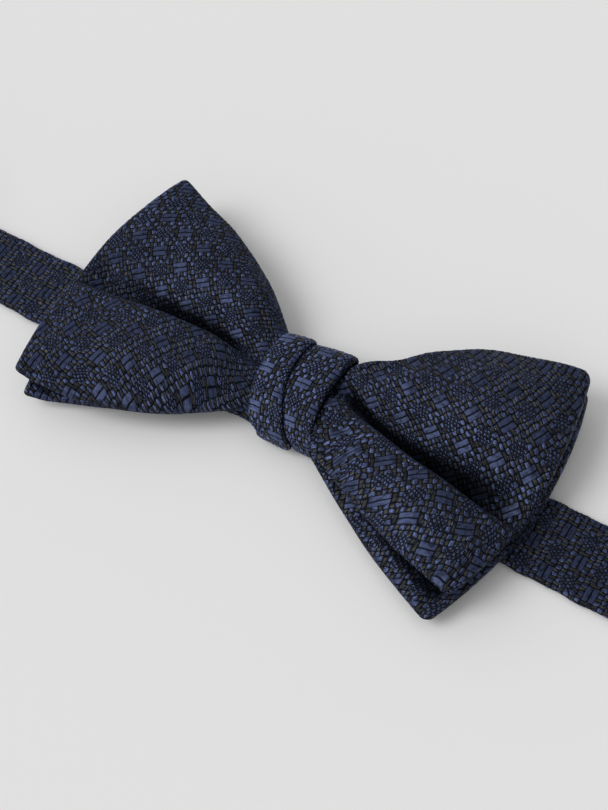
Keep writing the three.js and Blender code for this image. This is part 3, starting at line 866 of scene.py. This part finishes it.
def knot_points(profile_of, count, across):
    """Rings of points round the knot, one for each step of the loop. The wrap slants from its place
    in front to its place underneath, where its layers are pressed flat and the closing stitch draws
    a groove. The pleat's edge slants and bows out to the left."""
    loop, out = knot_loop(count)
    rings = []
    for (y, z), n in zip(loop, out):
        under = 1 - rise(1.2, 3.0, z)
        below = (1 - rise(-11, 1, y)) * np.clip((11 - z) / 6, 0, 1)
        wound = mix(below, np.clip((12 - y) / 24, 0, 1), under)
        centre = mix(KNOT["front_x"], KNOT["under_x"], wound)
        flat = mix(0.25, 1.0, rise(0.7, 3.2, z))
        groove = 1 - 0.55 * under * math.exp(-(((y - 6.2) / 0.5) ** 2))
        bowed = 1.3 * (1 - (y / KNOT["half_y"]) ** 2)
        profile = resample(soften(profile_of(-0.3 + KNOT_PLEAT_LEAN * y - bowed), 3), across, closed=True)
        x = centre + profile[:, 0] * (1 + 0.0044 * y) * (1 - 0.07 * below)
        lift = profile[:, 1] * flat * groove
        skew = (0.075 + 0.1 * rise(0, 9, y)) * (x - centre)
        turned = y + KNOT["middle_y"] + n[0] * lift + skew
        rings.append(np.stack([x, turned, z + n[1] * lift], axis=1))
    return np.array(rings)


def ring_mesh(rings, close_rows=True):
    """Points, faces and weave places for rings of points, joined side by side. With close_rows the
    last ring joins the first; without it, flat ends close the tube."""
    count, around = rings.shape[:2]
    ids = np.arange(count * around).reshape(count, around)
    wrapped = np.concatenate([ids, ids[:, :1]], axis=1)
    path = np.concatenate([rings, rings[:, :1]], axis=1)
    if close_rows:
        wrapped = np.concatenate([wrapped, wrapped[:1]])
        path = np.concatenate([path, path[:1]])
    round_steps = np.linalg.norm(np.diff(path, axis=1), axis=2).mean(axis=0)
    long_steps = np.linalg.norm(np.diff(path, axis=0), axis=2).max(axis=1)
    a = np.concatenate([[0], np.cumsum(round_steps)]) / CELL
    b = np.concatenate([[0], np.cumsum(long_steps)]) / CELL
    places = np.stack(np.meshgrid(b, a, indexing="ij")[::-1], axis=-1)
    faces = corners(wrapped).reshape(-1, 4)
    uv = corners(places).reshape(-1, 4, 2)
    if not close_rows:
        caps, cap_uv = [], []
        for row, order in ((0, 1), (count - 1, -1)):
            for k in range(1, around // 2):
                quad = [k - 1, around - k, around - k - 1, k][::order]
                caps.append([ids[row, q] for q in quad])
                cap_uv.append([places[row, q] for q in quad])
        faces = np.concatenate([faces, np.array(caps)])
        uv = np.concatenate([uv, np.array(cap_uv)])
    return rings.reshape(-1, 3), faces, uv, places


def woven_tube(name, rings, material, relief, close_rows=True):
    """A piece from rings of points, with the weave raised out of its surface."""
    _, faces, uv, places = ring_mesh(rings, close_rows)
    count, around = rings.shape[:2]
    weft, warp, _ = weave(places[:count, :around, 0], places[:count, :around, 1])
    padded = np.concatenate([rings[:, -1:], rings, rings[:, :1]], axis=1)
    across = padded[:, 2:] - padded[:, :-2]
    if close_rows:
        lengthways = np.roll(rings, -1, axis=0) - np.roll(rings, 1, axis=0)
    else:
        lengthways = np.gradient(rings, axis=0)
    normal = np.cross(lengthways, across)
    normal = normal / np.maximum(np.linalg.norm(normal, axis=2, keepdims=True), 1e-9)
    middle = rings.mean(axis=1, keepdims=True)
    if (normal * (rings - middle)).sum() < 0:
        normal = -normal
        faces, uv = faces[:, ::-1], uv[:, ::-1]
    raised = rings + normal * (np.maximum(weft, warp) * relief)[..., None]
    return make_piece(name, raised.reshape(-1, 3), faces, uv, material)


def make_knot(silk, lining):
    """The pleated band round the waist, and the stiff strip inside it."""
    rings = knot_points(knot_profile, 330, 130)
    knot = woven_tube("knot_silk", rings, silk, RELIEF)
    x = rings[..., 0]
    aside = x - (x.max(axis=1, keepdims=True) + x.min(axis=1, keepdims=True)) / 2
    # painted shade along the knot's left and right sides, and painted light, a quarter brighter, over the
    # rest of it
    layer = knot.data.attributes.new("Depth", "FLOAT", "POINT")
    layer.data.foreach_set("value", (0.6 * rise(7.8, 8.4, aside) - 0.25).astype(np.float32).ravel())
    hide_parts("knot_band")
    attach(knot, "bow")
    flat = np.array([(-7.2, -0.35), (-7.2, -0.08), (7.2, -0.08), (7.2, -0.35)])
    core = knot_points(lambda _: flat, 120, 40)
    strip = woven_tube("knot_canvas", core, lining, 0.0)
    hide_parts("knot_lining")
    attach(strip, "bow")


# ---- the neckband ----
def step(x0, z0, x1, z1, count=12):
    """Points of a soft step from one height to another."""
    t = np.linspace(0, 1, count)
    return np.stack([mix(x0, x1, t), mix(z0, z1, rise(0, 1, t))], axis=1)


def turn(x, side, count=20):
    """Points of a half turn about a bar, from below it, round the side it faces, to above it."""
    angle = np.linspace(-math.pi / 2, math.pi / 2, count)
    r = TURN + MID
    return np.stack([x + side * r * np.cos(angle), BAR_Z + r * np.sin(angle)], axis=1)


def strap_rings(path, spacing=0.5, across=44):
    """Rounded flat rings along a path given in x and z, with the strap's slight sway and soft edges."""
    length = np.linalg.norm(np.diff(path, axis=0), axis=1).sum()
    path = resample(path, int(length / spacing))
    way = np.gradient(path, axis=0)
    way = way / np.linalg.norm(way, axis=1, keepdims=True)
    x, z = path[:, 0], path[:, 1]

    # out to about 100 mm from the knot the strap sways a little, and its width wavers
    ridden = rise(BAND["knot_x"], BAND["knee_x"], np.abs(x))
    sway = np.where(x > 0, 0.018, 0.012) * x * (1 - rise(88, 110, np.abs(x)))
    centre = mix(BAND["knot_y"], BAND["y"], ridden) + sway
    slim = rise(45, 80, -x) * (1 - rise(94, 110, -x)) * 0.65 - rise(45, 80, x) * (1 - rise(90, 110, x)) * 0.4
    uneven = 0.12 * np.sin(0.43 * x) + 0.09 * np.sin(0.91 * x + 1.7)
    half = mix(BAND["knot_half"], BAND["half"], ridden) - slim + uneven * (1 - rise(95, 105, np.abs(x)))

    # one ring: its upper side, a round edge, its lower side and the other round edge
    t = np.linspace(-1, 1, across)
    edge = np.linspace(0, math.pi, 8)[1:-1]
    flat_y = np.concatenate([t, np.ones(6), -t, -np.ones(6)])
    round_y = np.concatenate([0 * t, np.sin(edge), 0 * t, -np.sin(edge)])
    out = np.concatenate([0 * t + 1, np.cos(edge), 0 * t - 1, -np.cos(edge)])
    y = centre[:, None] + flat_y * (half[:, None] - MID) + round_y * MID
    soft = 1 - 0.10 * np.abs(flat_y) ** 6
    lift = out * MID * soft
    return np.stack([x[:, None] - way[:, 1:] * lift, y, z[:, None] + way[:, :1] * lift], axis=-1)


def close_ends(rings):
    """The same rings, with the first and last drawn in to a closed, slightly rounded end."""
    ends = []
    for ring, inward in ((rings[0], rings[0] - rings[1]), (rings[-1], rings[-1] - rings[-2])):
        middle = ring.mean(axis=0)
        line = ring.copy()
        line[:, [0, 2]] = middle[[0, 2]]
        ends.append([mix(ring, line, 0.55) + inward * 0.6, mix(ring, line, 0.995) + inward * 0.75])
    return np.concatenate([ends[0][::-1], rings, ends[1]])


def make_neckband(silk):
    """The strap from the eye through the knot and the slide to the hook, and its return run."""
    knee, knot_x = BAND["knee_x"], BAND["knot_x"]
    raised = MID + BAND["knot_z"]
    main = np.concatenate([
        [(EYE_X - 18, LAID)], step(EYE_X - 8, LAID, EYE_X - 1, BAR_Z + TURN + MID), turn(EYE_X, 1)[::-1],
        [(EYE_X - 2, MID)], step(knee, MID, knot_x, raised), step(-knot_x, raised, -knee, MID),
        step(SLIDE_X + 24, MID, SLIDE_X + 10, UPPER_Z + MID, 20), [(HOOK_X + 14, UPPER_Z + MID)],
        step(HOOK_X + 11, UPPER_Z + MID, HOOK_X + 2, BAR_Z + TURN + MID), turn(HOOK_X, -1)[::-1],
        [(HOOK_X + 4, MID)],
    ])
    band = woven_tube("neckband_silk", close_ends(strap_rings(main)), silk, RELIEF, close_rows=False)
    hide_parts("neckband", "neckband_hook_loop")
    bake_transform(band)
    back = np.concatenate([
        [(HOOK_X + 4, MID), (SLIDE_X - 1, MID)], turn(SLIDE_X, 1),
        step(SLIDE_X - 2, BAR_Z + TURN + MID, SLIDE_X - 9, LAID), [(TAIL_X, LAID)],
    ])
    run = woven_tube("return_run_silk", close_ends(strap_rings(back)), silk, RELIEF, close_rows=False)
    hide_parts("neckband_return_run")
    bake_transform(run)


# ---- threads ----
def square_to(path):
    """Two unit directions at each point of a path, square to it and to each other."""
    way = np.gradient(path, axis=0)
    way = way / np.linalg.norm(way, axis=1, keepdims=True)
    aside = np.cross(way, (0.31, 0.23, 0.92))
    aside = aside / np.linalg.norm(aside, axis=1, keepdims=True)
    return aside, np.cross(way, aside)


def tube(path, radius, around=8):
    """Rings of points round a path in space, drawn in at its ends."""
    aside, over = square_to(path)
    angle = np.linspace(0, 2 * math.pi, around, endpoint=False)[:, None]
    taper = np.ones(len(path))
    taper[[0, -1]] = 0.05
    ring = np.cos(angle) * aside[:, None] + np.sin(angle) * over[:, None]
    return path[:, None] + ring * (radius * taper)[:, None, None]


def make_thread(name, path, radius, material, node, body):
    """Two strands twisted round a path, as one piece that stands for a CAD thread."""
    length = np.concatenate([[0], np.cumsum(np.linalg.norm(np.diff(path, axis=0), axis=1))])
    aside, over = square_to(path)
    turns = (2 * math.pi * length / (radius * 7))[:, None]
    points, faces, places = [], [], []
    for strand in (0, math.pi):
        offset = (np.cos(turns + strand) * aside + np.sin(turns + strand) * over) * radius * 0.48
        rings = tube(path + offset, radius * 0.55)
        p, f, uv, _ = ring_mesh(rings, close_rows=False)
        faces.append(f + len(points) * len(p))
        points.append(p)
        places.append(uv)
    piece = make_piece(name, *(np.concatenate(v) for v in (points, faces, places)), material)
    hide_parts(node)
    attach(piece, body)


def stitches(node, along_y, count, width, rise_above):
    """A row of slanting stitches in the middle of a CAD thread's box."""
    low, high = (np.array(c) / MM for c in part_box(node))
    centre = (low + high) / 2
    u = np.linspace(0, 1, count * 22 + 1)
    turns = 2 * math.pi * count * u
    advance = mix(-0.5, 0.5, u)
    lift = centre[2] + rise_above * np.sin(turns)
    swing = width / 2 * np.cos(turns)
    if along_y:
        return np.stack([centre[0] + swing, centre[1] + advance * (high - low)[1], lift], axis=1)
    return np.stack([centre[0] + advance * (high - low)[0], centre[1] + swing, lift], axis=1)


def make_threads(cotton_thread):
    """The rows of stitches, and the thread wound round the waist inside the knot."""
    make_thread("knot_stitches", stitches("knot_closing_stitch", False, 7, 1.1, 0.2), 0.17,
                cotton_thread, "knot_closing_stitch", "bow")
    make_thread("eye_tack_stitches", stitches("eye_fold_tack", True, 8, 1.3, 0.25), 0.2,
                cotton_thread, "eye_fold_tack", "bow")
    make_thread("slide_tack_stitches", stitches("slide_tail_tack", True, 8, 1.3, 0.25), 0.2,
                cotton_thread, "slide_tail_tack", "slide")
    turns = 7
    half_y, half_z, middle_z = 10.2, 2.2, 5.7
    angle = np.linspace(0, 2 * math.pi * turns, turns * 72)
    across, up = np.cos(angle), np.sin(angle)
    power = 2 / KNOT["squareness"]
    wound = np.stack([
        np.linspace(-2, 2, len(angle)), half_y * np.sign(across) * np.abs(across) ** power,
        middle_z + half_z * np.sign(up) * np.abs(up) ** power,
    ], axis=1)
    make_thread("waist_winding", resample(wound, 900), 0.26, cotton_thread, "waist_binding_thread", "bow")


# ---- hardware ----
def finish_metal(node, material):
    """Rounds the edges of a stamped CAD part and plates it."""
    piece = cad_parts[node]
    piece.data.materials.clear()
    piece.data.materials.append(material)
    weld = piece.modifiers.new("weld", "WELD")
    weld.merge_threshold = 0.02 * MM
    flatten = piece.modifiers.new("flatten", "DECIMATE")
    flatten.decimate_type = "DISSOLVE"
    flatten.angle_limit = math.radians(3)
    bevel = piece.modifiers.new("rounded", "BEVEL")
    bevel.width = 0.25 * MM
    bevel.segments = 3
    bevel.angle_limit = math.radians(35)


# ---- main ----
make_camera()
make_stage()
SILK, CANVAS, COTTON, NICKEL = silk_jacquard(), canvas(), cotton(), nickel()
make_bows(SILK, CANVAS)
make_knot(SILK, CANVAS)
make_neckband(SILK)
make_threads(COTTON)
for part in ("slide_frame", "hook", "eye"):
    finish_metal(part, NICKEL)
